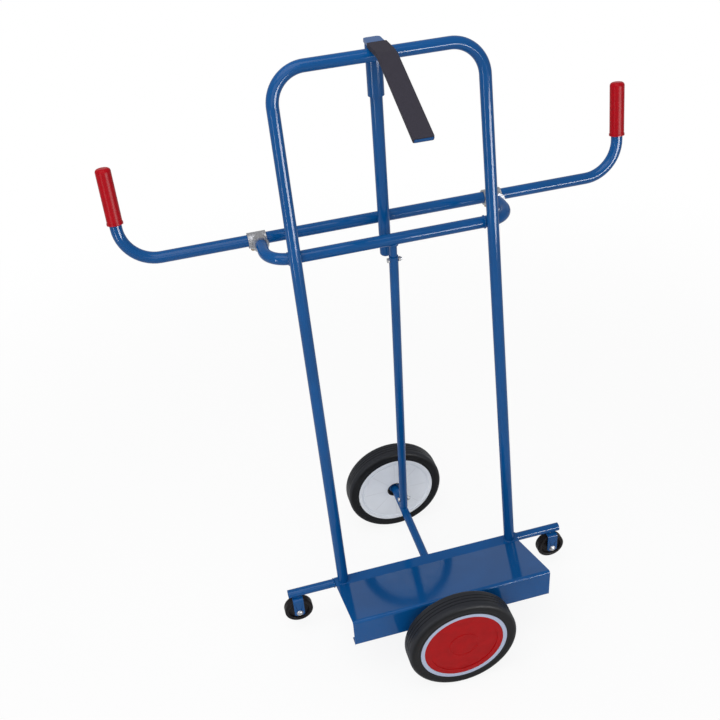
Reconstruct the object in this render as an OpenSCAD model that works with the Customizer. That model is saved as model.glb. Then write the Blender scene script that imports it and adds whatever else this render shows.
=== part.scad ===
// Two-wheeled panel cart: a bent-tube frame that leans back over a sloped floor sheet,
// a pair of big wheels on one axle line, a small support wheel at each end, a turning
// handlebar held in two clamps, and a hook on a sliding rod that drops over the panel's edge.
// X runs along the panel, Y from the loading side to the back, Z up. The origin is on the
// ground, midway between the big wheels. Every length is in millimetres.

/* [Frame] */
// Outer diameter of the frame, bow and handlebar tubes
tube_d = 25; // [22:1:30]
// Wall of every tube
tube_wall = 2; // [1.5:0.5:3]
// Distance between the two posts, centre to centre
post_spacing = 420; // [340:5:440]
// Height of the top bar's centre above the ground
frame_h = 1300; // [1100:10:1500]
// Backward lean of the frame, in degrees
frame_lean = 9.3; // [6:0.1:12]
// Centre-line radius of the frame's top corners
corner_r = 68; // [50:2:100]

/* [Floor sheet] */
// Length of the sheet along the panel
sheet_len = 460; // [460:5:560]
// Thickness of the sheet
sheet_t = 3; // [2:0.5:5]
// Width of the level strip that the posts stand on
rear_strip = 29; // [28:1:40]
// Slope of the floor, in degrees
floor_slope = 23.2; // [15:0.1:28]
// Level distance over which the floor rises
floor_run = 175; // [120:1:176]
// Depth of the lip turned back under the front flange
lip = 22; // [15:1:40]
// Inside radius of the sheet's bends
fold_r = 3; // [2:0.5:6]

/* [Undercarriage] */
// Outer diameter of the caster bar, the axle tubes and the strut
bar_d = 20; // [18:1:24]
// How far the caster bar runs on past the middle of each fork
bar_end = 20; // [14:1:40]
// Distance of the caster bar forward of the axle's middle
bar_forward = 19; // [15:1:25]
// How far the sheet's rear edge stands behind the bar's centre line
strip_back = 4; // [1:1:8]

/* [Big wheels] */
// Outer diameter of the tyres
wheel_d = 250; // [240:2:280]
// Width of the tyres
wheel_w = 50; // [44:1:56]
// Distance between the middles of the two wheels
wheel_track = 525; // [515:5:640]
// Depth of the tyres, from the tread to the rim
tyre_depth = 24.5; // [20:0.5:30]
// Width of the rim's ring that shows round each cap
rim_ring = 9.5; // [8.5:0.5:20]
// Diameter of the hub recess on the inner face
recess_d = 43; // [38:1:50]

/* [Support wheels] */
// Distance of each support wheel from the middle of the cart
caster_x = 324; // [290:1:330]
// Diameter of the support wheels
caster_d = 68; // [60:1:80]
// Width of the support wheels
caster_w = 22; // [16:1:24]
// Height of the support wheels' centres above the ground
caster_z = 72; // [60:1:80]
// Width of the fork strap
fork_w = 25; // [20:1:32]
// Thickness of the fork strap
fork_t = 3; // [2:0.5:4]
// Outside width of the fork
fork_span = 36; // [34:1:44]

/* [Bow and handlebar] */
// Height of the bow and handlebar above the ground
bow_z = 929; // [850:5:1000]
// Distance of each bow arm from the middle
bow_half = 262; // [250:1:300]
// Centre-line radius of the bow's elbows
bow_r = 50; // [40:1:60]
// Distance of the handlebar behind the middle of the axle
handle_y = 235; // [215:1:260]
// Distance between the handlebar's two risers, centre to centre
handle_w = 1102; // [900:10:1250]
// Centre-line radius of the handlebar's bends
handle_r = 76; // [60:2:90]
// Reach of the risers above the handlebar's axis
handle_rise = 196; // [190:2:260]
// How far the handlebar sits off centre in its clamps
handle_shift = 8; // [-9:1:9]
// Length of the grips
grip_len = 115; // [90:5:125]
// Outer diameter of the grips
grip_d = 31.5; // [30:0.5:36]
// Length of the clamp sleeves
clamp_len = 39; // [34:1:46]
// Outer diameter of the clamp sleeves
clamp_d = 33; // [32:0.5:38]
// How far each clamp's sleeve stands off its socket
clamp_shift = 4; // [0:1:6]

/* [Hook] */
// Diameter of the sliding rod
rod_d = 25; // [20:1:25]
// Height of the rod's lower end at rest
rod_foot_z = 860; // [700:2:980]
// Outer diameter of the rod's sleeve
sleeve_d = 33; // [31:0.5:38]
// Length of the rod's sleeve
sleeve_len = 102; // [60:2:160]
// Width of the hook strip
strip_w = 34; // [28:1:40]
// Thickness of the hook strip
strip_t = 6; // [4:0.5:8]
// Wall of the rubber sheath
sheath_wall = 2; // [1.5:0.5:3]
// Reach of the level part forward of the rod
hook_level = 95; // [70:1:140]
// Length of the sloping part
hook_drop = 222; // [150:2:260]
// Slope of the hook, in degrees
hook_slope = 22.6; // [10:0.1:40]
// Radius of the hook's bend
hook_r = 60; // [20:5:100]

/* [Strut] */
// How far behind the middle of the axle the strut meets the axle tube
strut_y = 166; // [140:1:200]
// Diameter of the stubs inside the strut's ends
stub_d = 15.6; // [10:0.1:15.8]
// Bare length of stub between the bow and the strut
stub_gap = 28; // [20:1:40]
// Diameter of the strut's cross bolts
bolt_d = 6; // [5:0.5:8]

/* [Hidden] */
$fn = 64;

// Clearances
seat = 0.3;         // between faces that rest on or retain each other
run = 0.05;         // radial, round what turns or slides in a bore
slip = 0.1;         // radial, round what is only pushed in
eps = 0.01;

// Paint and material colours
blue = [0.13, 0.35, 0.61];
red = [0.70, 0.08, 0.13];
pale = [0.76, 0.79, 0.84];
black = [0.12, 0.12, 0.13];
zinc = [0.72, 0.73, 0.75];
cast = [0.62, 0.62, 0.62];

// Heights and places worked out from the sizes above
axle_z = wheel_d / 2;
rim_d = wheel_d - 2 * tyre_depth;
cap_d = rim_d - 2 * rim_ring;
wheel_y = wheel_track / 2;
bar_y = -bar_forward;
bar_len = 2 * (caster_x + bar_end);
strip_z = axle_z + bar_d / 2 + sheet_t;
rear_edge_y = bar_y + strip_back;
fold_y = rear_edge_y - rear_strip;
foot_y = rear_edge_y - rear_strip / 2;
lean_len = (frame_h - strip_z) / cos(frame_lean);
post_joint = corner_r + 5;
top_y = foot_y + (frame_h - strip_z) * tan(frame_lean);
post_bow_y = foot_y + (bow_z - strip_z) * tan(frame_lean);
bow_y = post_bow_y + tube_d / cos(frame_lean);
rod_y = top_y + (tube_d + sleeve_d) / 2;
hook_z = frame_h + tube_d / 2 + seat + sheath_wall;
strut_tilt = atan((strut_y - bow_y) / (bow_z - axle_z));
strut_end = (bow_z - axle_z) / cos(strut_tilt);
bar_bottom_z = axle_z - bar_d / 2;

// The ring that a tube's wall makes when cut across
module ring(d, wall) {
    difference() {
        circle(d = d);
        circle(d = d - 2 * wall);
    }
}

// A rectangle with rounded corners, centred
module pad_section(w, h, r) {
    square([w - 2 * r, h], center = true);
    square([w, h - 2 * r], center = true);
    for (x = [-1, 1], y = [-1, 1])
        translate([x * (w / 2 - r), y * (h / 2 - r)])
            circle(r = r);
}

// One bend of a section: from the origin going +Z, turning towards +X by angle a
module bend(a, r) {
    translate([r, 0, 0])
        rotate([90, 0, 180])
            rotate_extrude(angle = a)
                translate([r, 0])
                    mirror([1, 0])
                        children();
}

// A section carried along straight spans joined by bends, all in one plane. Spans are
// measured from corner to corner, turns are angles towards +X and r is the bends' radius.
module bent(spans, turns, r, i = 0) {
    before = i > 0 ? r * tan(abs(turns[i - 1]) / 2) : 0;
    after = i < len(turns) ? r * tan(abs(turns[i]) / 2) : 0;
    leg = spans[i] - before - after;
    linear_extrude(leg)
        children();
    if (i < len(turns)) {
        a = turns[i];
        translate([0, 0, leg]) {
            if (a > 0)
                bend(a, r)
                    children();
            else
                mirror([1, 0, 0])
                    bend(-a, r)
                        mirror([1, 0])
                            children();
            translate([sign(a) * r * (1 - cos(a)), 0, r * sin(abs(a))])
                rotate([0, a, 0])
                    bent(spans, turns, r, i + 1)
                        children();
        }
    }
}

// The corner line of a folded plate with its folds rounded to radius r, from point [x, y]
// heading h on. Each point is [x, y, heading].
function folded_line(spans, turns, r, x = 0, y = 0, h = 0, i = 0) =
    let (
        before = i > 0 ? r * tan(abs(turns[i - 1]) / 2) : 0,
        after = i < len(turns) ? r * tan(abs(turns[i]) / 2) : 0,
        leg = spans[i] - before - after,
        x1 = x + leg * cos(h),
        y1 = y + leg * sin(h)
    )
    i == len(turns) ? [[x1, y1, h]] :
    let (
        a = turns[i],
        steps = ceil(abs(a) * $fn / 360),
        side = sign(a) * r,
        cx = x1 - side * sin(h),
        cy = y1 + side * cos(h),
        arc = [
            for (k = [0 : steps])
                let (g = h + a * k / steps)
                    [cx + side * sin(g), cy - side * cos(g), g]
        ],
        last = arc[steps]
    )
    concat(arc, folded_line(spans, turns, r, last[0], last[1], last[2], i + 1));

// The outline of a folded plate of thickness t, seen from its edge
module plate(spans, turns, r, t) {
    line = concat([[0, 0, 0]], folded_line(spans, turns, r));
    n = len(line);
    polygon([
        for (k = [0 : 2 * n - 1])
            let (p = line[k < n ? k : 2 * n - 1 - k], s = k < n ? t / 2 : -t / 2)
                [p[0] - s * sin(p[2]), p[1] + s * cos(p[2])]
    ]);
}

// A tube bent into a U, open end down, its cross bar centred on the origin
module u_tube(width, leg, r, d) {
    translate([-width / 2, 0, -leg])
        bent([leg, width, leg], [90, 90], r)
            ring(d, tube_wall);
}

// A hexagonal head or nut standing on z = 0, af across its flats
module hexagon(af, h) {
    cylinder(d = af / cos(30), h = h, $fn = 6);
}

// A weld bead all round a bar of diameter d, in the plane z = 0
module bead(d, r) {
    rotate_extrude()
        translate([d / 2, 0])
            circle(r = r);
}

// The frame's leaning plane: z = 0 at the posts' feet and +Z up along the posts
module leaning() {
    translate([0, foot_y, strip_z])
        rotate([-frame_lean, 0, 0])
            children();
}

// Everything below a height
module below(z) {
    reach = 2 * frame_h;
    translate([-reach, -reach, z - reach])
        cube([2 * reach, 2 * reach, reach]);
}

// Main frame: an inverted U, as two posts and a top bar that meet just below its bends

// A post, its foot cut level and welded to the floor sheet
module post(side) {
    foot_weld = 2;
    color(blue)
        difference() {
            union() {
                leaning()
                    translate([side * post_spacing / 2, 0, -tube_d / 4])
                        linear_extrude(lean_len - post_joint + tube_d / 4)
                            ring(tube_d, tube_wall);
                translate([side * post_spacing / 2, foot_y, strip_z])
                    difference() {
                        bead(tube_d, foot_weld);
                        cylinder(d = tube_d - tube_wall, h = 4 * foot_weld, center = true);
                    }
            }
            below(strip_z);
            folded_sheet();
        }
}

module left_post() {
    post(-1);
}

module right_post() {
    post(1);
}

// The top bar, its ends bent down to the posts
module top_bar() {
    color(blue)
        leaning()
            translate([0, 0, lean_len])
                u_tube(post_spacing, post_joint, corner_r, tube_d);
}

// Floor sheet

// The sheet's level strip, sloped floor, front flange and lip, drawn along its mid-plane
module folded_sheet() {
    front_in = floor_run - sheet_t / 2;
    spans = [
        rear_strip, front_in / cos(floor_slope),
        front_in * tan(floor_slope), lip - sheet_t / 2
    ];
    translate([sheet_len / 2, rear_edge_y, strip_z - sheet_t / 2])
        rotate([90, 0, -90])
            linear_extrude(sheet_len)
                plate(spans, [floor_slope, -90 - floor_slope, -90], fold_r + sheet_t / 2, sheet_t);
}

module floor_sheet() {
    color(blue)
        folded_sheet();
}

// Undercarriage

// The cross tube under the sheet's rear edge, with a weld at each corner of the sheet
module caster_bar() {
    corner_weld = 1.8;
    color(blue)
        translate([0, bar_y, axle_z])
            rotate([0, 90, 0]) {
                translate([0, 0, -bar_len / 2])
                    linear_extrude(bar_len)
                        ring(bar_d, tube_wall);
                for (s = [-1, 1])
                    translate([0, 0, s * (sheet_len / 2 + corner_weld + slip)])
                        difference() {
                            bead(bar_d, corner_weld);
                            cylinder(d = bar_d - tube_wall, h = 4 * corner_weld, center = true);
                        }
            }
}

// Sizes of a big wheel along its axle, from the wheel's middle outwards
hub_in = -10;       // inner face of the bush's flange
hub_out = 14;       // outer end of the hub
washer_t = 2;
clip_t = 1.5;
collar_t = 2.5;
hub_r = 13;         // radius of the bush's seat in the hub
web_face = -wheel_w / 2 + 4;
axle_show = 0.8;    // how far the axle tube stands out of its cap
axle_end = hub_out + washer_t + clip_t + 2 * seat + axle_show;

// Places a piece drawn along +Z, outwards from the wheel's middle, at one of the wheels
module at_wheel(side) {
    translate([0, side * wheel_y, axle_z])
        rotate([-90 * side, 0, 0])
            children();
}

// An axle tube from the caster bar to its wheel, with a collar that the wheel runs up to
module axle_tube(side) {
    start = side * bar_y - wheel_y;
    collar = hub_in - seat - collar_t;
    color(blue)
        difference() {
            at_wheel(side) {
                translate([0, 0, start])
                    linear_extrude(axle_end - start)
                        ring(bar_d, tube_wall);
                translate([0, 0, collar])
                    linear_extrude(collar_t)
                        ring(bar_d + 8, 4 + tube_wall / 2);
            }
            translate([0, bar_y, axle_z])
                rotate([0, 90, 0])
                    cylinder(d = bar_d, h = 4 * bar_d, center = true);
        }
}

module front_axle_tube() {
    axle_tube(-1);
}

module rear_axle_tube() {
    axle_tube(1);
}

// A plain washer at the outer end of each hub
module axle_washers() {
    color(zinc)
        for (side = [-1, 1])
            at_wheel(side)
                translate([0, 0, hub_out + seat])
                    linear_extrude(washer_t)
                        ring(bar_d + 16, 8 - slip);
}

// The push-on cap that holds each wheel on its axle tube
module axle_clips() {
    color(zinc)
        for (side = [-1, 1])
            at_wheel(side)
                translate([0, 0, hub_out + washer_t + 2 * seat])
                    linear_extrude(clip_t)
                        ring(bar_d + 10, 5 - eps);
}

// Big wheels

// The tyre's section: round shoulders, square beads against the rim, and fine grooves
// round the middle of the tread
module tyre() {
    shoulder = min(10, 0.45 * tyre_depth);
    bead_step = 0.6;
    groove_w = 1.6;
    groove_depth = 1.8;
    groove_pitch = 8;
    color(black)
        rotate_extrude()
            difference() {
                union() {
                    translate([(wheel_d + rim_d) / 4, 0])
                        pad_section(tyre_depth, wheel_w, shoulder);
                    translate([rim_d / 2, -wheel_w / 2 + bead_step])
                        square([tyre_depth / 2, wheel_w - 2 * bead_step]);
                }
                for (k = [-1 : 1])
                    translate([wheel_d / 2 - groove_depth, k * groove_pitch - groove_w / 2])
                        square([2 * groove_depth, groove_w]);
            }
}

// The moulded rim: a band under the tyre, a flat inner web with a groove near its edge,
// a recess down to the hub, and ribs on the covered side
module rim() {
    half = wheel_w / 2 - 1;
    band_r = rim_d / 2 - slip;
    band_in = cap_d / 2 + seat;
    web_t = 3.5;
    wall = 3;
    ribs = 8;
    rib_t = 2.5;
    rib_top = hub_out - 3;
    color(pale) {
        rotate_extrude() {
            translate([band_in, -half])
                square([band_r - band_in, 2 * half]);
            difference() {
                translate([recess_d / 2, web_face])
                    square([band_in - recess_d / 2 + 1, web_t]);
                translate([band_in - 6, web_face - eps])
                    square([3, 1.2]);
            }
            translate([recess_d / 2, web_face])
                square([wall, hub_in + 3 + wall - web_face]);
            translate([hub_r + slip, hub_in + 3])
                square([recess_d / 2 + wall - hub_r - slip, wall]);
            translate([hub_r + slip, hub_in + 3])
                square([6, hub_out - hub_in - 3]);
        }
        for (k = [0 : ribs - 1])
            rotate([0, 0, k * 360 / ribs])
                for (foot = [[recess_d / 2 + 1, web_face + web_t - 1], [hub_r + 4, hub_in + 4]])
                    translate([foot[0], -rib_t / 2, foot[1]])
                        cube([band_in + 1 - foot[0], rib_t, rib_top - foot[1]]);
    }
}

// The snap-in cap, a shallow disc with raised rings and a skirt inside the rim's band
module wheel_cap() {
    face = wheel_w / 2 - 3;
    t = 2.5;
    r = cap_d / 2;
    color(red)
        rotate_extrude() {
            translate([0, face - t])
                square([r, t]);
            translate([r * 0.86, face - t])
                square([r * 0.14, t + 1.2]);
            translate([r * 0.34, face - t])
                square([r * 0.05, t + 0.6]);
            translate([r - 2.5, face - 9])
                square([2.5, 9]);
        }
}

// The bush that the hub turns on, with a cup that lines the recess
module bush() {
    bore = bar_d / 2 + run;
    cup = recess_d / 2 - seat;
    cup_wall = 2;
    color(black)
        rotate_extrude() {
            translate([bore, hub_in])
                square([hub_r - bore, hub_out - hub_in]);
            translate([bore, hub_in])
                square([cup - bore, 3 - seat]);
            translate([cup - cup_wall, web_face])
                square([cup_wall, hub_in + 1 - web_face]);
        }
}

module front_tyre() {
    at_wheel(-1)
        tyre();
}

module front_rim() {
    at_wheel(-1)
        rim();
}

module front_cap() {
    at_wheel(-1)
        wheel_cap();
}

module front_bush() {
    at_wheel(-1)
        bush();
}

module rear_tyre() {
    at_wheel(1)
        tyre();
}

module rear_rim() {
    at_wheel(1)
        rim();
}

module rear_cap() {
    at_wheel(1)
        wheel_cap();
}

module rear_bush() {
    at_wheel(1)
        bush();
}

// Support wheels
caster_bolt_d = 8;
caster_head = 5;

// The strap fork: an inverted U welded under the bar, its lower corners cut off
module caster_fork(side) {
    leg = bar_bottom_z - caster_z + 9;
    cut = 5;
    color(blue)
        translate([side * caster_x, bar_y, bar_bottom_z - fork_t / 2])
            difference() {
                rotate([0, 0, 90])
                    translate([-(fork_span - fork_t) / 2, 0, -leg + fork_t / 2])
                        bent([leg - fork_t / 2, fork_span - fork_t, leg - fork_t / 2],
                            [90, 90], 3 + fork_t / 2)
                            square([fork_t, fork_w], center = true);
                for (s = [-1, 1])
                    translate([s * fork_w / 2, 0, -leg + fork_t / 2])
                        rotate([0, 45, 0])
                            cube([cut * sqrt(2), fork_span + 2, cut * sqrt(2)], center = true);
                translate([0, 0, caster_z - bar_bottom_z + fork_t / 2])
                    rotate([90, 0, 0])
                        cylinder(d = caster_bolt_d + 2 * slip, h = fork_span + 2, center = true);
            }
}

module left_caster_fork() {
    caster_fork(-1);
}

module right_caster_fork() {
    caster_fork(1);
}

// The solid support wheel: a rounded tread, a thin web and a hub that fills the fork
module caster_wheel(side) {
    hub = (fork_span / 2 - fork_t) - seat;
    bore = caster_bolt_d / 2 + run;
    color(black)
        translate([side * caster_x, bar_y, caster_z])
            rotate([90, 0, 0])
                rotate_extrude() {
                    translate([bore, -hub])
                        square([5, 2 * hub]);
                    translate([bore, -caster_w / 4])
                        square([caster_d / 2 - bore - 5, caster_w / 2]);
                    translate([caster_d / 2 - 5, 0])
                        pad_section(10, caster_w, 4);
                }
}

module left_caster_wheel() {
    caster_wheel(-1);
}

module right_caster_wheel() {
    caster_wheel(1);
}

// A domed bolt through each fork, its head on the loading side
module caster_bolts() {
    color(zinc)
        for (side = [-1, 1])
            translate([side * caster_x, bar_y, caster_z])
                rotate([90, 0, 0]) {
                    translate([0, 0, -fork_span / 2 - 8])
                        cylinder(d = caster_bolt_d, h = fork_span + 8 + eps);
                    translate([0, 0, fork_span / 2])
                        rotate_extrude()
                            intersection() {
                                square([8, caster_head]);
                                translate([0, -4.5])
                                    circle(r = 9.5);
                            }
                }
}

// The nut on the far end of each of those bolts
module caster_nuts() {
    color(zinc)
        for (side = [-1, 1])
            translate([side * caster_x, bar_y + fork_span / 2, caster_z])
                rotate([-90, 0, 0])
                    difference() {
                        hexagon(13, 6.5);
                        translate([0, 0, -1])
                            cylinder(d = caster_bolt_d + 2 * run, h = 9);
                    }
}

// Bow and handlebar
socket_reach = clamp_d / 2 + 13;
socket_end = tube_d / 2 + run + 2;

// The level bow behind the posts, its arms running back into the clamps
module bow() {
    weld = 1.8;
    color(blue)
        difference() {
            union() {
                translate([0, bow_y, bow_z])
                    rotate([-90, 0, 0])
                        mirror([0, 0, 1])
                            u_tube(2 * bow_half, handle_y - socket_end - seat - bow_y, bow_r, tube_d);
                for (s = [-1, 1], k = [-1, 1])
                    translate([s * post_spacing / 2 + k * tube_d * 0.42, bow_y, bow_z])
                        rotate([0, 90, 0])
                            difference() {
                                bead(tube_d, weld);
                                cylinder(d = tube_d - tube_wall, h = 4 * weld, center = true);
                            }
            }
            leaning()
                for (s = [-1, 1])
                    translate([s * post_spacing / 2, 0, 0])
                        cylinder(d = tube_d, h = lean_len);
        }
}

// One clamp: a sleeve round the handlebar with a side socket for the bow's arm. Both clamps
// are the same casting, so the sleeve stands off its socket to the same side on each.
module clamp(side) {
    boss_x = -clamp_shift - clamp_len / 4;
    color(cast)
        translate([side * bow_half, handle_y, bow_z])
            difference() {
                union() {
                    translate([-clamp_shift, 0, 0])
                        rotate([0, 90, 0])
                            cylinder(d = clamp_d, h = clamp_len, center = true);
                    rotate([90, 0, 0])
                        cylinder(d = clamp_d, h = socket_reach);
                    rotate([90, 0, 0])
                        translate([0, 0, socket_reach - 4])
                            cylinder(d = clamp_d + 1.5, h = 4);
                    translate([boss_x, 0, -clamp_d / 2 - 2])
                        cylinder(d = 13, h = 6);
                }
                rotate([0, 90, 0])
                    cylinder(d = tube_d + 2 * run, h = 2 * clamp_len, center = true);
                rotate([90, 0, 0])
                    translate([0, 0, socket_end])
                        cylinder(d = tube_d + 2 * slip, h = socket_reach);
                translate([boss_x, 0, -clamp_d])
                    cylinder(d = bolt_d + 2 * slip, h = clamp_d);
            }
}

module left_clamp() {
    clamp(-1);
}

module right_clamp() {
    clamp(1);
}

// The hexagon screw under each clamp that grips the handlebar
module clamp_screws() {
    boss_face = clamp_d / 2 + 2;
    tip = tube_d / 2 + seat;
    color([0.55, 0.45, 0.30])
        for (side = [-1, 1])
            translate([side * bow_half - clamp_shift - clamp_len / 4, handle_y, bow_z])
                rotate([180, 0, 0]) {
                    translate([0, 0, tip])
                        cylinder(d = bolt_d, h = boss_face - tip + eps);
                    translate([0, 0, boss_face])
                        hexagon(10, 4);
                }
}

// The handlebar's own frame: its axis at the origin and +Z up along the risers
module at_handle() {
    translate([handle_shift, handle_y, bow_z])
        rotate([-frame_lean, 0, 0])
            children();
}

// The handlebar, straight through the clamps and turned up at both ends
module handlebar() {
    color(blue)
        at_handle()
            rotate([180, 0, 0])
                u_tube(handle_w, handle_rise, handle_r, tube_d);
}

// A moulded grip, closed and rounded at the top and slightly thicker at its mouth
module grip(side) {
    round_r = 7;
    color(red)
        at_handle()
            translate([side * handle_w / 2, 0, handle_rise + 4 - grip_len])
                rotate_extrude()
                    difference() {
                        union() {
                            square([grip_d / 2, grip_len - round_r]);
                            square([grip_d / 2 - round_r, grip_len]);
                            translate([grip_d / 2 - round_r, grip_len - round_r])
                                circle(r = round_r);
                            square([grip_d / 2 + 1, 4]);
                        }
                        square([tube_d / 2 + run, grip_len - 4 + seat]);
                    }
}

module left_grip() {
    grip(-1);
}

module right_grip() {
    grip(1);
}

// Hook

// The round sleeve welded upright behind the top bar
module rod_sleeve() {
    color(blue)
        translate([0, rod_y, hook_z - seat - sleeve_len])
            linear_extrude(sleeve_len)
                ring(sleeve_d, (sleeve_d - rod_d) / 2 - run);
}

// The sliding rod, closed and rounded at its lower end
module clamp_rod() {
    r = rod_d / 2;
    round_r = 6;
    color(blue)
        translate([0, rod_y, rod_foot_z])
            rotate_extrude()
                difference() {
                    union() {
                        translate([0, round_r])
                            square([r, hook_z - rod_foot_z - round_r]);
                        square([r - round_r, round_r]);
                        intersection() {
                            translate([r - round_r, round_r])
                                circle(r = round_r);
                            square([r, round_r + eps]);
                        }
                    }
                    translate([0, round_r])
                        square([r - tube_wall, hook_z - rod_foot_z]);
                }
}

// A plate of thickness t and width w that follows the hook, from a distance behind the
// rod over the top bar and down in front
module hook_plate(behind, drop, w, t) {
    translate([w / 2, rod_y + behind, hook_z + strip_t / 2])
        rotate([90, 0, -90])
            linear_extrude(w)
                plate([behind + hook_level, drop], [-hook_slope], hook_r, t);
}

hook_behind = rod_d / 2 + 1;

// The flat strip on top of the rod, its rear corners rounded
module hook_strip() {
    corner = 8;
    color(blue)
        difference() {
            hook_plate(hook_behind, hook_drop, strip_w, strip_t);
            for (s = [-1, 1])
                translate([s * (strip_w / 2 - corner), rod_y + hook_behind - corner, hook_z - 1])
                    difference() {
                        translate([s > 0 ? 0 : -corner - 1, 0, 0])
                            cube([corner + 1, corner + 1, strip_t + 2]);
                        translate([0, 0, -1])
                            cylinder(r = corner, h = strip_t + 4);
                    }
        }
}

// The rubber sheath pulled over the strip, whose front end just shows
module hook_sheath() {
    behind = top_y + 3 - rod_y;
    strip_show = 0.8;
    thick = strip_t + 2 * sheath_wall;
    color(black)
        difference() {
            hook_plate(behind, hook_drop - strip_show, strip_w + 2 * sheath_wall, thick);
            hook_plate(0, hook_drop + thick, strip_w + 2 * slip, strip_t + 2 * slip);
        }
}

// Strut
upper_bolt_in = 9;      // from the strut's top to its upper bolt
lower_bolt_up = 26;     // from the axle tube to the lower bolt
upper_bolt = tube_d / 2 + stub_gap + upper_bolt_in;
lower_bolt = strut_end - bar_d / 2 - lower_bolt_up;

// The strut's own frame: the bow's axis at the origin and +Z down along the strut
module on_strut() {
    translate([0, bow_y, bow_z])
        rotate([180 + strut_tilt, 0, 0])
            children();
}

// A hole across the strut
module cross_hole(z) {
    translate([0, 0, z])
        rotate([0, 90, 0])
            cylinder(d = bolt_d + 2 * slip, h = 2 * bar_d, center = true);
}

// The tube from the bow down to the rear axle tube
module strut_tube() {
    top = tube_d / 2 + stub_gap;
    color(blue)
        difference() {
            on_strut()
                difference() {
                    translate([0, 0, top])
                        linear_extrude(strut_end - top)
                            ring(bar_d, tube_wall);
                    cross_hole(upper_bolt);
                    cross_hole(lower_bolt);
                }
            below(axle_z + bar_d / 2 + seat);
        }
}

// The stub under the bow that the strut's top is pushed over
module upper_strut_stub() {
    color(blue)
        difference() {
            on_strut()
                difference() {
                    translate([0, 0, tube_d / 4])
                        cylinder(d = stub_d, h = upper_bolt + 12 - tube_d / 4);
                    cross_hole(upper_bolt);
                }
            translate([0, bow_y, bow_z])
                rotate([0, 90, 0])
                    cylinder(d = tube_d, h = 2 * tube_d, center = true);
        }
}

// The stub on the rear axle tube inside the strut's foot
module lower_strut_stub() {
    color(blue)
        difference() {
            on_strut()
                difference() {
                    translate([0, 0, lower_bolt - 14])
                        cylinder(d = stub_d, h = strut_end - lower_bolt + 14 - bar_d / 4);
                    cross_hole(lower_bolt);
                }
            translate([0, 0, axle_z])
                rotate([-90, 0, 0])
                    cylinder(d = bar_d, h = 2 * strut_y);
        }
}

// The bolts across the strut's two ends
module strut_bolts() {
    color(zinc)
        on_strut()
            for (z = [upper_bolt, lower_bolt])
                translate([0, 0, z])
                    rotate([0, 90, 0]) {
                        translate([0, 0, -bar_d / 2])
                            cylinder(d = bolt_d, h = bar_d + 8);
                        translate([0, 0, -bar_d / 2 - 4])
                            hexagon(10, 4 + eps);
                    }
}

// The nuts on those bolts
module strut_nuts() {
    color(zinc)
        on_strut()
            for (z = [upper_bolt, lower_bolt])
                translate([0, 0, z])
                    rotate([0, 90, 0])
                        translate([0, 0, bar_d / 2])
                            difference() {
                                hexagon(10, 5);
                                translate([0, 0, -1])
                                    cylinder(d = bolt_d + 2 * run, h = 7);
                            }
}

left_post();
right_post();
top_bar();
floor_sheet();
caster_bar();
front_axle_tube();
rear_axle_tube();
axle_washers();
axle_clips();
front_tyre();
front_rim();
front_cap();
front_bush();
rear_tyre();
rear_rim();
rear_cap();
rear_bush();
left_caster_fork();
right_caster_fork();
left_caster_wheel();
right_caster_wheel();
caster_bolts();
caster_nuts();
bow();
left_clamp();
right_clamp();
clamp_screws();
handlebar();
left_grip();
right_grip();
rod_sleeve();
clamp_rod();
hook_strip();
hook_sheath();
strut_tube();
upper_strut_stub();
lower_strut_stub();
strut_bolts();
strut_nuts();
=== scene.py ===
"""Studio scene of a two-wheeled panel cart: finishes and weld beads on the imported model."""
import math

import bpy
from bpy.props import FloatProperty, FloatVectorProperty, IntProperty, PointerProperty
from mathutils import Euler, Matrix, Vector


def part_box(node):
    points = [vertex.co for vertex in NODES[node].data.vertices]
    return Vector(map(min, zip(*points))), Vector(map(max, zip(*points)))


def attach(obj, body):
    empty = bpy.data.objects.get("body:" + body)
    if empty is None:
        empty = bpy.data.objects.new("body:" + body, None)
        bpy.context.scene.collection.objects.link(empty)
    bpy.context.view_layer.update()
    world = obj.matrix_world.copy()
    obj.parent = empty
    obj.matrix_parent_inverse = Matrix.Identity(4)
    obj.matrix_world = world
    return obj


bl_info = {
    "name": "Panel cart studio",
    "version": (1, 0, 0),
    "blender": (4, 5, 0),
    "location": "View3D > Sidebar > Panel cart",
    "description": "Dresses a panel cart of bent tube in its finishes, in a plain studio",
    "category": "Object",
}

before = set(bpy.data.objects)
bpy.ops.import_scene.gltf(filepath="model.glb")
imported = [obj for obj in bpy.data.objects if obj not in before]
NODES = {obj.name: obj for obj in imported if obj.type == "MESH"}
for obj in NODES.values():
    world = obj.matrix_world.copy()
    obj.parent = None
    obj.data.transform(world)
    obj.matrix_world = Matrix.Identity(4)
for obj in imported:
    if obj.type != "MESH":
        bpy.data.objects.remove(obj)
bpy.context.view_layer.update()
# Share of the white ground that shows in reflections
REFLECTED_WHITE = 0.15
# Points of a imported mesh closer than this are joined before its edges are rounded
JOIN_DISTANCE = 1e-6
# Edges where two faces meet at more than this angle are rounded
SHARP_ANGLE = math.radians(35)


def middle(node):
    """Middle of a node's box."""
    low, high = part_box(node)
    return (low + high) / 2


def extent(node):
    """Size of a node's box along X, Y and Z."""
    low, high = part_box(node)
    return high - low


TUBE_R = extent("clamp_rod").x / 2
BAR_R = extent("strut_tube").x / 2
STUB_R = extent("upper_strut_stub").x / 2
SLEEVE_R = extent("rod_sleeve").x / 2
WHEEL_R = extent("front_tyre").z / 2
CAP_R = extent("front_cap").z / 2
AXLE = middle("front_tyre")
BAR = middle("caster_bar")


def srgb(red, green, blue):
    """A colour as a screen shows it, 0 to 255, as the linear value that Blender takes."""
    def linear(channel):
        c = channel / 255
        return c / 12.92 if c <= 0.04045 else ((c + 0.055) / 1.055) ** 2.4
    return tuple(linear(c) for c in (red, green, blue))


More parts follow.
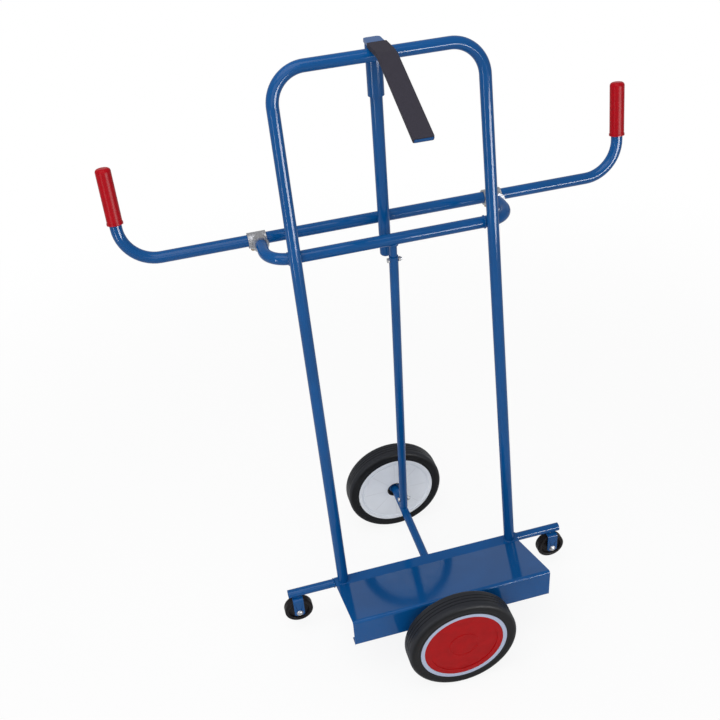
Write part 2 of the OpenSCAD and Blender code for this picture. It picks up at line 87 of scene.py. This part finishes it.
def colour(name, description, value):
    """A colour property."""
    return FloatVectorProperty(name=name, description=description, subtype="COLOR",
                               size=3, min=0, max=1, default=srgb(*value))


class CartColours(bpy.types.PropertyGroup):
    paint: colour("Paint", "Gloss paint on every tube and on the floor sheet", (9, 78, 139))
    tyre: colour("Tyre", "Rubber of the big tyres", (19, 20, 23))
    rim: colour("Rim", "Moulded plastic of the big wheels' rims", (236, 240, 246))
    # Bluish grey of the rims' band: partly the thicker plastic's own tone, partly painted shade on each
    # wheel's outer side.
    rim_band_tone_and_shade: colour("Rim band", "Outer side of the rims' band, in thicker plastic", (172, 184, 210))
    cap: colour("Cap", "Snap-in caps of the big wheels", (170, 5, 11))
    grip: colour("Grip", "Vinyl of the hand grips", (168, 4, 21))
    sheath: colour("Sheath", "Rubber sheath of the hook", (47, 44, 55))
    nylon: colour("Nylon", "Bushes of the big wheels", (26, 26, 29))
    caster: colour("Support wheel", "Solid support wheels", (24, 20, 23))
    zinc: colour("Zinc", "Bolts, nuts, washers and axle caps", (172, 173, 176))
    yellow_zinc: colour("Yellow zinc", "Clamp screws", (150, 128, 98))
    cast: colour("Casting", "Cast clamps", (176, 177, 181))
    floor: colour("Floor", "Studio floor", (250, 250, 250))


class CartDetails(bpy.types.PropertyGroup):
    weld_r: FloatProperty(name="Weld bead", description="Radius of the weld beads",
                          default=0.0019, min=0.001, max=0.004, unit="LENGTH")
    ripples: IntProperty(name="Weld ripples", description="Ripples in a bead per 100 mm of its length",
                         default=52, min=10, max=120)
    edge_r: FloatProperty(name="Edge round", description="Rounding of cut sheet edges",
                          default=0.0007, min=0.0001, max=0.002, unit="LENGTH")
    peel: FloatProperty(name="Paint peel", description="Height of the waviness of the gloss paint",
                        default=0.000003, min=0, max=0.0002, unit="LENGTH")
    ribs: IntProperty(name="Rim ribs", description="Ribs that show faintly through the rim's web",
                      default=8, min=3, max=24)


class CartStage(bpy.types.PropertyGroup):
    camera_place: FloatVectorProperty(name="Camera place", description="Where the camera stands",
                                      subtype="TRANSLATION", unit="LENGTH", size=3,
                                      default=(-0.45040, -1.54486, 1.84940))
    camera_turn: FloatVectorProperty(name="Camera turn",
                                     description="The camera's rotation about X, Y and Z",
                                     subtype="EULER", size=3, default=(0.955514, 0.069865, -0.26143))
    lens: FloatProperty(name="Lens", description="Focal length in millimetres on a 36 mm sensor",
                        default=47.15, min=20, max=200)
    sky: FloatProperty(name="Sky", description="Strength of the even light from all round",
                       default=0.5, min=0, max=2)
    top_light: FloatProperty(name="Top light", description="Brightness of the soft box overhead",
                             default=2.3, min=0, max=20)
    front_light: FloatProperty(name="Front light", description="Brightness of the soft box in front",
                               default=1.5, min=0, max=20)
    strips: FloatProperty(name="Strips", description="Brightness of the two low strips seen in gloss",
                          default=24, min=0, max=100)


class Value:
    """A number inside a node tree: arithmetic on it adds Math nodes."""

    def __init__(self, nodes, socket):
        self.nodes = nodes
        self.socket = socket

    def math(self, operation, *others):
        """A Math node on this number and any others."""
        return self.nodes.node("ShaderNodeMath", {"operation": operation},
                               dict(enumerate((self, *others))))

    def __add__(self, other):
        return self.math("ADD", other)

    def __sub__(self, other):
        return self.math("SUBTRACT", other)

    def __rsub__(self, other):
        return self.nodes.node("ShaderNodeMath", {"operation": "SUBTRACT"}, {0: other, 1: self})

    def __mul__(self, other):
        return self.math("MULTIPLY", other)

    def __pow__(self, other):
        return self.math("POWER", other)

    __radd__ = __add__
    __rmul__ = __mul__


class Nodes:
    """A node tree under construction."""

    def __init__(self, tree):
        self.tree = tree

    def node(self, kind, settings=None, inputs=None, output=0):
        """Adds a node: its settings first, then the values or links of its sockets."""
        made = self.tree.nodes.new(kind)
        for name, value in (settings or {}).items():
            setattr(made, name, value)
        for name, value in (inputs or {}).items():
            if isinstance(value, Value):
                self.tree.links.new(value.socket, made.inputs[name])
            else:
                made.inputs[name].default_value = value
        return Value(self, made.outputs[output])

    def white_to_camera(self, lit, white_kind, share, end):
        """Mixes a lit shader with plain white where the camera looks at it, and less in reflections."""
        seen = (self.node("ShaderNodeLightPath", output="Is Camera Ray")
                + self.node("ShaderNodeLightPath", output="Is Glossy Ray") * REFLECTED_WHITE)
        white = self.node(white_kind, inputs={"Color": (1, 1, 1, 1), "Strength": 1.0})
        mixed = self.node("ShaderNodeMixShader",
                          inputs={0: seen * share, 1: Value(self, lit.outputs[0]), 2: white})
        self.tree.links.new(mixed.socket, self.tree.nodes[end].inputs["Surface"])


class Finish(Nodes):
    """A material of a slot or of the floor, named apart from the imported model's own."""

    def __init__(self, slot, base, roughness, metallic=0.0, specular=0.5):
        self.material = bpy.data.materials.new(f"{slot}_finish")
        self.material.use_nodes = True
        self.material.diffuse_color = (*base, 1)
        super().__init__(self.material.node_tree)
        self.shader = self.tree.nodes["Principled BSDF"]
        self.base = tuple(base)
        for socket, value in {"Base Color": (*base, 1), "Roughness": roughness, "Metallic": metallic,
                              "Specular IOR Level": specular}.items():
            self.shader.inputs[socket].default_value = value

    def place(self):
        """The point of the surface in the cart's own frame, in metres."""
        return self.node("ShaderNodeTexCoord", output="Object")

    def axes(self):
        """The X, Y and Z of that point."""
        split = self.node("ShaderNodeSeparateXYZ", inputs={"Vector": self.place()})
        return [Value(self, socket) for socket in split.socket.node.outputs]

    def stretched(self, x, y, z):
        """That point with each axis scaled, which stretches the patterns drawn from it."""
        return self.node("ShaderNodeVectorMath", {"operation": "MULTIPLY"},
                         {0: self.place(), 1: (x, y, z)})

    def noise(self, scale, detail=3.0, rough=0.5, at=None):
        """Cloudy noise from 0 to 1 with that many features to the metre."""
        return self.node("ShaderNodeTexNoise", inputs={
            "Vector": at or self.place(), "Scale": scale, "Detail": detail, "Roughness": rough})

    def cells(self, scale):
        """Distance to the nearest of scattered points, in cells."""
        return self.node("ShaderNodeTexVoronoi", {"feature": "F1"},
                         {"Vector": self.place(), "Scale": scale})

    def step(self, value, low, high):
        """0 below low, 1 above high and smooth between."""
        return self.node("ShaderNodeMapRange", {"interpolation_type": "SMOOTHSTEP"},
                         {"Value": value, "From Min": low, "From Max": high})

    def mix(self, factor, first, second):
        """Two colours mixed, through the colour sockets of the Mix node."""
        first, second = (side if isinstance(side, Value) else (*side, 1) for side in (first, second))
        return self.node("ShaderNodeMix", {"data_type": "RGBA"}, {0: factor, 6: first, 7: second}, 2)

    def tint(self, amount):
        """The base colour made lighter, or darker where amount is under 1."""
        return tuple(min(1.0, c * amount) for c in self.base)

    def feed(self, socket, value):
        """Links a value to a socket of the shader."""
        self.tree.links.new(value.socket, self.shader.inputs[socket])

    def bump(self, height, distance):
        """Relief of the surface: height from 0 to 1 over that many metres."""
        self.feed("Normal", self.node("ShaderNodeBump", inputs={
            "Strength": 1.0, "Distance": distance, "Height": height}))


def axle_reach(finish):
    """Distance from the wheels' axle line in metres."""
    x, _, z = finish.axes()
    rise = z - AXLE.z
    return (x * x + rise * rise) ** 0.5


def axle_angle(finish):
    """Angle round the wheels' axle line in radians."""
    x, _, z = finish.axes()
    return (z - AXLE.z).math("ARCTAN2", x)


def gloss_paint(scene):
    """Gloss paint over steel, slightly wavy, with thin scuffs."""
    f = Finish("blue_paint", scene.cart_colours.paint, 0.12, specular=0.22)
    cloud = f.noise(7, 4)
    f.feed("Base Color", f.mix(f.step(cloud, 0.35, 0.7), f.tint(0.93), f.tint(1.07)))
    scuffs = f.step(f.noise(70, 6, 0.7, f.stretched(1, 1, 0.2)), 0.62, 0.75)
    f.feed("Roughness", 0.09 + cloud * 0.03 + scuffs * 0.04)
    f.bump(f.noise(130, 2), scene.cart_details.peel)
    return f


def tyre_rubber(scene):
    """Tyre rubber: three rings moulded on each wall, dust in the grain, and a paler tread."""
    tread_edge = WHEEL_R - 0.007
    tread_fade = 0.006
    first_ring = WHEEL_R - 0.011
    ring_pitch = 0.006
    ring_top = 0.0002
    ring_foot = 0.0009
    f = Finish("tyre_rubber", scene.cart_colours.tyre, 0.5, specular=0.14)
    reach = axle_reach(f)
    dust = f.step(f.noise(26, 5, 0.65), 0.42, 0.75)
    walls = f.mix(dust, f.tint(0.82), f.tint(1.35))
    f.feed("Base Color", f.mix(f.step(reach, tread_edge, tread_edge + tread_fade), walls, f.tint(3.4)))
    off_ring = ((reach - (first_ring - k * ring_pitch)).math("ABSOLUTE") for k in range(3))
    rings = sum((1 - f.step(distance, ring_top, ring_foot) for distance in off_ring), 0.0)
    f.feed("Roughness", 0.42 + dust * 0.18)
    f.bump(f.noise(1500, 3) * 0.35 + rings * 0.65, 0.00012)
    return f


def rim_plastic(scene):
    """Pale moulded plastic: darker over the ribs behind the web, and on the band's outer side a bluish
    grey that is partly the thicker plastic's tone and partly painted shade.
    """
    rib_start = 0.024
    rib_end = 0.078
    rib_fade = 0.006
    rib_crest = 0.985
    band_edge = 0.001
    outer_y = abs(AXLE.y) + 0.012
    outer_fade = 0.004
    f = Finish("rim_plastic", scene.cart_colours.rim, 0.38)
    reach = axle_reach(f)
    beat = (axle_angle(f) * scene.cart_details.ribs).math("COSINE")
    on_rib = (f.step(beat, rib_crest, 1.0) * f.step(reach, rib_start, rib_start + rib_fade)
              * (1 - f.step(reach, rib_end, rib_end + rib_fade)))
    cloud = f.noise(22, 3)
    shade = f.mix(f.step(cloud, 0.3, 0.75), f.tint(0.98), f.tint(1.02))
    web = f.mix(on_rib * 0.8, shade, f.tint(0.88))
    # Painted shade, mixed with the thicker plastic's own bluish tone: the band's outer side of each
    # wheel takes the rim band colour.
    shaded_outer_side = f.step(f.axes()[1].math("ABSOLUTE"), outer_y, outer_y + outer_fade)
    shaded_band = f.step(reach, CAP_R - band_edge, CAP_R + band_edge) * shaded_outer_side
    f.feed("Base Color", f.mix(shaded_band, web, scene.cart_colours.rim_band_tone_and_shade))
    f.feed("Roughness", 0.36 + cloud * 0.08)
    f.bump(f.noise(900, 2), 0.000006)
    return f


def cap_plastic(scene):
    """Red moulded caps with faint turned rings."""
    ring_pitch = 0.002618
    f = Finish("cap_red", scene.cart_colours.cap, 0.3, specular=0.09)
    flow = f.noise(45, 4, 0.6)
    f.feed("Base Color", f.mix(f.step(flow, 0.3, 0.75), f.tint(0.9), f.tint(1.08)))
    f.feed("Roughness", 0.27 + flow * 0.12)
    f.bump((axle_reach(f) * (math.tau / ring_pitch)).math("SINE") * 0.08 + flow * 0.4, 0.00009)
    return f


def grip_vinyl(scene):
    """Dipped vinyl, a little uneven in colour and gloss."""
    f = Finish("grip_red", scene.cart_colours.grip, 0.32, specular=0.1)
    cloud = f.noise(90, 4)
    f.feed("Base Color", f.mix(f.step(cloud, 0.3, 0.7), f.tint(0.94), f.tint(1.06)))
    f.feed("Roughness", 0.3 + cloud * 0.05)
    f.bump(f.noise(40, 2), 0.000004)
    return f


def sheath_rubber(scene):
    """Matt rubber with a fine cloth-like grain."""
    thread = 0.0011
    turns = math.tau / thread
    f = Finish("sheath_rubber", scene.cart_colours.sheath, 0.82, specular=0.3)
    x, y, _ = f.axes()
    weave = (x * turns).math("SINE") * (y * turns).math("SINE")
    speck = f.noise(700, 4, 0.7)
    f.feed("Base Color", f.mix(f.step(speck, 0.3, 0.75), f.tint(0.72), f.tint(1.28)))
    f.feed("Roughness", 0.74 + speck * 0.16)
    f.bump(speck * 0.7 + weave * 0.3, 0.00016)
    return f


def caster_rubber(scene):
    """Solid rubber of the support wheels, with dust in its grain."""
    f = Finish("caster_rubber", scene.cart_colours.caster, 0.46, specular=0.14)
    dust = f.noise(60, 5, 0.6)
    f.feed("Base Color", f.mix(f.step(dust, 0.4, 0.75), f.tint(0.8), f.tint(1.5)))
    f.feed("Roughness", 0.36 + dust * 0.2)
    f.bump(f.noise(1200, 3), 0.00006)
    return f


def nylon(scene):
    """Black nylon, finely grained by its mould."""
    f = Finish("black_nylon", scene.cart_colours.nylon, 0.42)
    grain = f.noise(1400, 3)
    f.feed("Roughness", 0.34 + grain * 0.16)
    f.feed("Base Color", f.mix(grain, f.tint(0.8), f.tint(1.3)))
    f.bump(grain, 0.00004)
    return f


def plated(slot, base, roughness):
    """Zinc plating with its spangle and a few dull spots."""
    f = Finish(slot, base, roughness, metallic=1.0)
    spangle = f.cells(520)
    dull = f.noise(160, 4, 0.7)
    f.feed("Base Color", f.mix(f.step(dull, 0.4, 0.8), f.tint(1.05), f.tint(0.78)))
    f.feed("Roughness", roughness - 0.06 + spangle * 0.12 + dull * 0.08)
    f.bump(spangle, 0.00003)
    return f


def casting(scene):
    """Tumbled casting: bright on its high spots, greyer in the pits of the sand."""
    f = Finish("cast_clamp", scene.cart_colours.cast, 0.4, metallic=0.85)
    pits = f.noise(420, 5, 0.7)
    f.feed("Base Color", f.mix(f.step(pits, 0.35, 0.62), f.tint(0.5), f.tint(1.15)))
    f.feed("Roughness", 0.52 - pits * 0.25)
    f.bump(pits, 0.0003)
    return f


FINISHES = {
    "blue_paint": gloss_paint,
    "tyre_rubber": tyre_rubber,
    "rim_plastic": rim_plastic,
    "cap_red": cap_plastic,
    "grip_red": grip_vinyl,
    "sheath_rubber": sheath_rubber,
    "caster_rubber": caster_rubber,
    "black_nylon": nylon,
    "zinc": lambda scene: plated("zinc", scene.cart_colours.zinc, 0.3),
    "yellow_zinc": lambda scene: plated("yellow_zinc", scene.cart_colours.yellow_zinc, 0.38),
    "cast_clamp": casting,
}


def finish_of(slot):
    """The material of a slot, made the first time that it is asked for."""
    return bpy.data.materials.get(f"{slot}_finish") or FINISHES[slot](bpy.context.scene).material


def dress(nodes, slot, edge=0.0, segments=2):
    """Gives CAD nodes their material and, where edge is set, rounds their sharp edges by it."""
    for name in nodes:
        obj = NODES[name]
        obj.data.materials.clear()
        obj.data.materials.append(finish_of(slot))
        if edge:
            weld = obj.modifiers.new("Join", "WELD")
            weld.merge_threshold = JOIN_DISTANCE
            bevel = obj.modifiers.new("Edges", "BEVEL")
            bevel.width = edge
            bevel.segments = segments
            bevel.limit_method = "ANGLE"
            bevel.angle_limit = SHARP_ANGLE
            bevel.miter_outer = "MITER_ARC"
            normals = obj.modifiers.new("Normals", "WEIGHTED_NORMAL")
            normals.keep_sharp = False


def add_mesh(name, points, faces, slot, body):
    """A new piece from points in the cart's frame, riding on a body."""
    mesh = bpy.data.meshes.new(name)
    mesh.from_pydata([tuple(p) for p in points], [], faces)
    mesh.validate()
    mesh.shade_smooth()
    obj = bpy.data.objects.new(name, mesh)
    bpy.context.scene.collection.objects.link(obj)
    obj.data.materials.append(finish_of(slot))
    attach(obj, body)


def rod_along(path, radius, closed, sides=10):
    """Points and faces of a round bead along a path, with radius(i) at its i-th point."""
    count = len(path)
    points = []
    previous = None
    for i, here in enumerate(path):
        ahead = path[(i + 1) % count] if closed or i + 1 < count else here
        behind = path[i - 1] if closed or i else here
        run = (ahead - behind).normalized()
        side = previous or run.orthogonal()
        side = (side - run * side.dot(run)).normalized()
        previous = side
        up = run.cross(side)
        for k in range(sides):
            turn = math.tau * k / sides
            points.append(here + (side * math.cos(turn) + up * math.sin(turn)) * radius(i))
    faces = []
    for i in range(count if closed else count - 1):
        j = (i + 1) % count
        for k in range(sides):
            n = (k + 1) % sides
            faces.append((i * sides + k, i * sides + n, j * sides + n, j * sides + k))
    if not closed:
        faces.append(tuple(reversed(range(sides))))
        faces.append(tuple(range((count - 1) * sides, count * sides)))
    return points, faces


def bead(name, path, closed=False, scale=1.0):
    """A weld bead along a path, rippled as it was laid and thinner towards open ends."""
    ripple_share = 0.13
    end_share = 0.35
    taper_points = 4
    details = bpy.context.scene.cart_details
    length = sum((b - a).length for a, b in zip(path, path[1:]))
    waves = max(2, round(length * 10 * details.ripples))
    last = len(path) - 1

    def radius(i):
        ripple = 1 + ripple_share * math.sin(math.tau * waves * i / len(path))
        run_in = 1.0 if closed else min(i, last - i) / taper_points
        taper = min(1.0, end_share + (1 - end_share) * run_in)
        return details.weld_r * scale * ripple * taper

    add_mesh(name, *rod_along(path, radius, closed), "blue_paint", "cart_frame")


def saddle(at, along, branch_r, main, main_r, steps=120):
    """The closed line where a round branch leaves a round main tube at a point of its axis."""
    along = along.normalized()
    across = main.cross(along).normalized()
    flat = along.cross(across).normalized()
    path = []
    for k in range(steps):
        turn = math.tau * k / steps
        sideways = branch_r * math.sin(turn)
        rise = math.sqrt(max(main_r ** 2 - sideways ** 2, 0))
        path.append(at + flat * branch_r * math.cos(turn) + across * sideways + along * rise)
    return path


def straight(start, end, steps=40):
    """Points evenly along a line."""
    return [start.lerp(end, k / steps) for k in range(steps + 1)]


class CartOperator:
    """What the cart's operators share."""
    bl_options = {"REGISTER", "UNDO"}


class CART_OT_frame(CartOperator, bpy.types.Operator):
    """Paint every tube: frame, bow, lower bars, handlebar, strut and the hook's rod"""
    bl_idname = "cart.frame"
    bl_label = "Tubes"

    def execute(self, context):
        dress(("left_post", "right_post", "top_bar", "bow", "caster_bar", "front_axle_tube",
               "rear_axle_tube", "handlebar", "rod_sleeve", "clamp_rod", "strut_tube",
               "upper_strut_stub", "lower_strut_stub"), "blue_paint")
        return {"FINISHED"}


class CART_OT_sheet(CartOperator, bpy.types.Operator):
    """Paint the folded floor sheet and the two forks, and round their cut edges"""
    bl_idname = "cart.sheet"
    bl_label = "Floor sheet and forks"

    def execute(self, context):
        edge = context.scene.cart_details.edge_r
        dress(("floor_sheet", "left_caster_fork", "right_caster_fork"), "blue_paint", edge)
        return {"FINISHED"}


class CART_OT_welds(CartOperator, bpy.types.Operator):
    """Lay the weld beads at the joints that the solids leave sharp"""
    bl_idname = "cart.welds"
    bl_label = "Weld beads"

    def execute(self, context):
        right = Vector((1, 0, 0))
        back = Vector((0, 1, 0))
        bow_axis = Vector((0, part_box("bow")[0].y + TUBE_R, middle("bow").z))
        stub = middle("strut_tube") - bow_axis
        # The axle tubes are as thick as the bar, so their beads stand a little out of it
        bead_reach = BAR_R * 1.01
        bead("weld_strut_top", saddle(bow_axis, stub, STUB_R, right, TUBE_R), closed=True, scale=1.25)
        bead("weld_front_axle", saddle(BAR, -back, BAR_R, right, bead_reach), closed=True)
        bead("weld_rear_axle", saddle(BAR, back, BAR_R, right, bead_reach), closed=True)
        self.fork_beads()
        self.sleeve_beads()
        return {"FINISHED"}

    def fork_beads(self):
        """Fillets between the bar's round underside and each fork's flat back."""
        offset = BAR_R * 0.62
        rise = 0.0012
        inset = 0.002
        for side in ("left", "right"):
            low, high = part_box(f"{side}_caster_fork")
            for end, sign in (("front", -1), ("rear", 1)):
                y = BAR.y + sign * offset
                z = high.z + rise
                line = straight(Vector((low.x + inset, y, z)), Vector((high.x - inset, y, z)))
                bead(f"weld_{side}_fork_{end}", line, scale=0.9)

    def sleeve_beads(self):
        """Fillets down both sides of the line where the rod's sleeve meets the top bar."""
        half_length = 0.007
        depth = 0.0028
        offset = SLEEVE_R * 0.5
        bar_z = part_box("top_bar")[1].z - TUBE_R
        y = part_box("rod_sleeve")[0].y + depth
        for side, sign in (("left", -1), ("right", 1)):
            x = sign * offset
            line = straight(Vector((x, y, bar_z - half_length)), Vector((x, y, bar_z + half_length)))
            bead(f"weld_sleeve_{side}", line, scale=1.1)


class CART_OT_big_wheels(CartOperator, bpy.types.Operator):
    """Finish the tyres, rims, caps and bushes of the two big wheels"""
    bl_idname = "cart.big_wheels"
    bl_label = "Big wheels"

    def execute(self, context):
        edge = context.scene.cart_details.edge_r
        for end in ("front", "rear"):
            dress((f"{end}_tyre",), "tyre_rubber")
            dress((f"{end}_rim",), "rim_plastic", edge * 0.6)
            dress((f"{end}_cap",), "cap_red", edge * 0.6)
            dress((f"{end}_bush",), "black_nylon")
        dress(("axle_washers", "axle_clips"), "zinc")
        return {"FINISHED"}


class CART_OT_support_wheels(CartOperator, bpy.types.Operator):
    """Finish the two support wheels and their bolts"""
    bl_idname = "cart.support_wheels"
    bl_label = "Support wheels"

    def execute(self, context):
        dress(("left_caster_wheel", "right_caster_wheel"), "caster_rubber")
        dress(("caster_bolts", "caster_nuts"), "zinc", context.scene.cart_details.edge_r * 0.5)
        return {"FINISHED"}


class CART_OT_clamps(CartOperator, bpy.types.Operator):
    """Finish the cast clamps, their screws and the strut's bolts"""
    bl_idname = "cart.clamps"
    bl_label = "Clamps and bolts"

    def execute(self, context):
        edge = context.scene.cart_details.edge_r * 0.5
        dress(("left_clamp", "right_clamp"), "cast_clamp")
        dress(("clamp_screws",), "yellow_zinc", edge)
        dress(("strut_bolts", "strut_nuts"), "zinc", edge)
        return {"FINISHED"}


class CART_OT_grips(CartOperator, bpy.types.Operator):
    """Finish the two hand grips"""
    bl_idname = "cart.grips"
    bl_label = "Grips"

    def execute(self, context):
        dress(("left_grip", "right_grip"), "grip_red")
        return {"FINISHED"}


class CART_OT_hook(CartOperator, bpy.types.Operator):
    """Finish the hook's strip and its rubber sheath"""
    bl_idname = "cart.hook"
    bl_label = "Hook"

    def execute(self, context):
        edge = context.scene.cart_details.edge_r
        dress(("hook_strip",), "blue_paint", edge)
        dress(("hook_sheath",), "sheath_rubber", edge * 2.4, 3)
        return {"FINISHED"}


def soft_box(name, place, aim, width, height, brightness, shine_only=False):
    """An area lamp facing a point, lit by its brightness; with shine_only it shows in gloss alone."""
    lamp = bpy.data.lights.new(name, "AREA")
    lamp.shape = "RECTANGLE"
    lamp.size = width
    lamp.size_y = height
    lamp.energy = brightness * math.pi * width * height
    obj = bpy.data.objects.new(name, lamp)
    obj.location = place
    obj.rotation_euler = (Vector(aim) - Vector(place)).to_track_quat("-Z", "Y").to_euler()
    obj.visible_camera = False
    obj.visible_diffuse = not shine_only
    bpy.context.scene.collection.objects.link(obj)


class CART_OT_stage(CartOperator, bpy.types.Operator):
    """Set the floor, the lights, the world and the camera"""
    bl_idname = "cart.stage"
    bl_label = "Studio"

    def execute(self, context):
        scene = context.scene
        self.floor(scene)
        self.lights(scene.cart_stage)
        self.world(scene)
        self.camera(scene)
        scene.view_settings.view_transform = "Standard"
        return {"FINISHED"}

    def floor(self, scene):
        """A round pale floor that keeps the cart's shadow and turns plain white further off."""
        reach = 80.0
        sides = 96
        white_by_cart = 0.88
        fade_start = 0.9
        fade_end = 2.6
        ring = [(reach * math.cos(math.tau * k / sides), reach * math.sin(math.tau * k / sides), 0)
                for k in range(sides)]
        mesh = bpy.data.meshes.new("floor")
        mesh.from_pydata(ring, [], [tuple(range(sides))])
        obj = bpy.data.objects.new("floor", mesh)
        scene.collection.objects.link(obj)
        finish = Finish("studio_floor", scene.cart_colours.floor, 0.9, specular=0.0)
        distance = finish.node("ShaderNodeVectorMath", {"operation": "LENGTH"},
                               {0: finish.place()}, "Value")
        share = white_by_cart + finish.step(distance, fade_start, fade_end) * (1 - white_by_cart)
        finish.white_to_camera(finish.shader, "ShaderNodeEmission", share, "Material Output")
        mesh.materials.append(finish.material)

    def lights(self, stage):
        """Soft boxes overhead and in front, and two low strips that only show in gloss."""
        aim = (0, 0, 0.7)
        soft_box("top_box", (-0.8, -0.9, 3.6), aim, 3.0, 2.4, stage.top_light)
        soft_box("front_box", (-1.2, -3.4, 2.2), aim, 3.0, 2.0, stage.front_light)
        soft_box("right_strip", (1.4, -2.2, 0.72), aim, 1.6, 0.65, stage.strips, True)
        soft_box("left_strip", (-1.37, -0.65, 0.8), aim, 0.12, 0.6, stage.strips * 0.8, True)

    def world(self, scene):
        """Even light from all round, which the camera sees as white."""
        world = bpy.data.worlds.new("studio")
        world.use_nodes = True
        nodes = Nodes(world.node_tree)
        back = nodes.tree.nodes["Background"]
        back.inputs["Color"].default_value = (1, 1, 1, 1)
        back.inputs["Strength"].default_value = scene.cart_stage.sky
        nodes.white_to_camera(back, "ShaderNodeBackground", 1.0, "World Output")
        scene.world = world

    def camera(self, scene):
        """The camera where the photograph was taken from."""
        stage = scene.cart_stage
        lens = bpy.data.cameras.new("camera")
        lens.sensor_width = 36
        lens.lens = stage.lens
        lens.clip_end = 100
        obj = bpy.data.objects.new("camera", lens)
        obj.location = stage.camera_place
        obj.rotation_euler = Euler(stage.camera_turn, "XYZ")
        scene.collection.objects.link(obj)
        scene.camera = obj


OPERATORS = (CART_OT_frame, CART_OT_sheet, CART_OT_welds, CART_OT_big_wheels, CART_OT_support_wheels,
             CART_OT_clamps, CART_OT_grips, CART_OT_hook, CART_OT_stage)


class CART_PT_panel(bpy.types.Panel):
    """Sizes, colours and steps of the cart's scene"""
    bl_label = "Panel cart"
    bl_idname = "CART_PT_panel"
    bl_space_type = "VIEW_3D"
    bl_region_type = "UI"
    bl_category = "Panel cart"

    def draw(self, context):
        layout = self.layout
        for group in (context.scene.cart_colours, context.scene.cart_details, context.scene.cart_stage):
            box = layout.box()
            for name in group.bl_rna.properties.keys():
                if name not in ("rna_type", "name"):
                    box.prop(group, name)
        for operator in OPERATORS:
            layout.operator(operator.bl_idname)


GROUPS = {"cart_colours": CartColours, "cart_details": CartDetails, "cart_stage": CartStage}
CLASSES = (*GROUPS.values(), *OPERATORS, CART_PT_panel)


def register():
    for cls in CLASSES:
        bpy.utils.register_class(cls)
    for name, group in GROUPS.items():
        setattr(bpy.types.Scene, name, PointerProperty(type=group))


def unregister():
    for name in GROUPS:
        delattr(bpy.types.Scene, name)
    for cls in reversed(CLASSES):
        bpy.utils.unregister_class(cls)


def write_sizes():
    """Brings the scene's placements up to date."""
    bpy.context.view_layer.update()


def main():
    register()
    for operator in OPERATORS:
        name = operator.bl_idname.split(".")[1]
        getattr(bpy.ops.cart, name)()
    write_sizes()


if __name__ == "__main__":
    main()
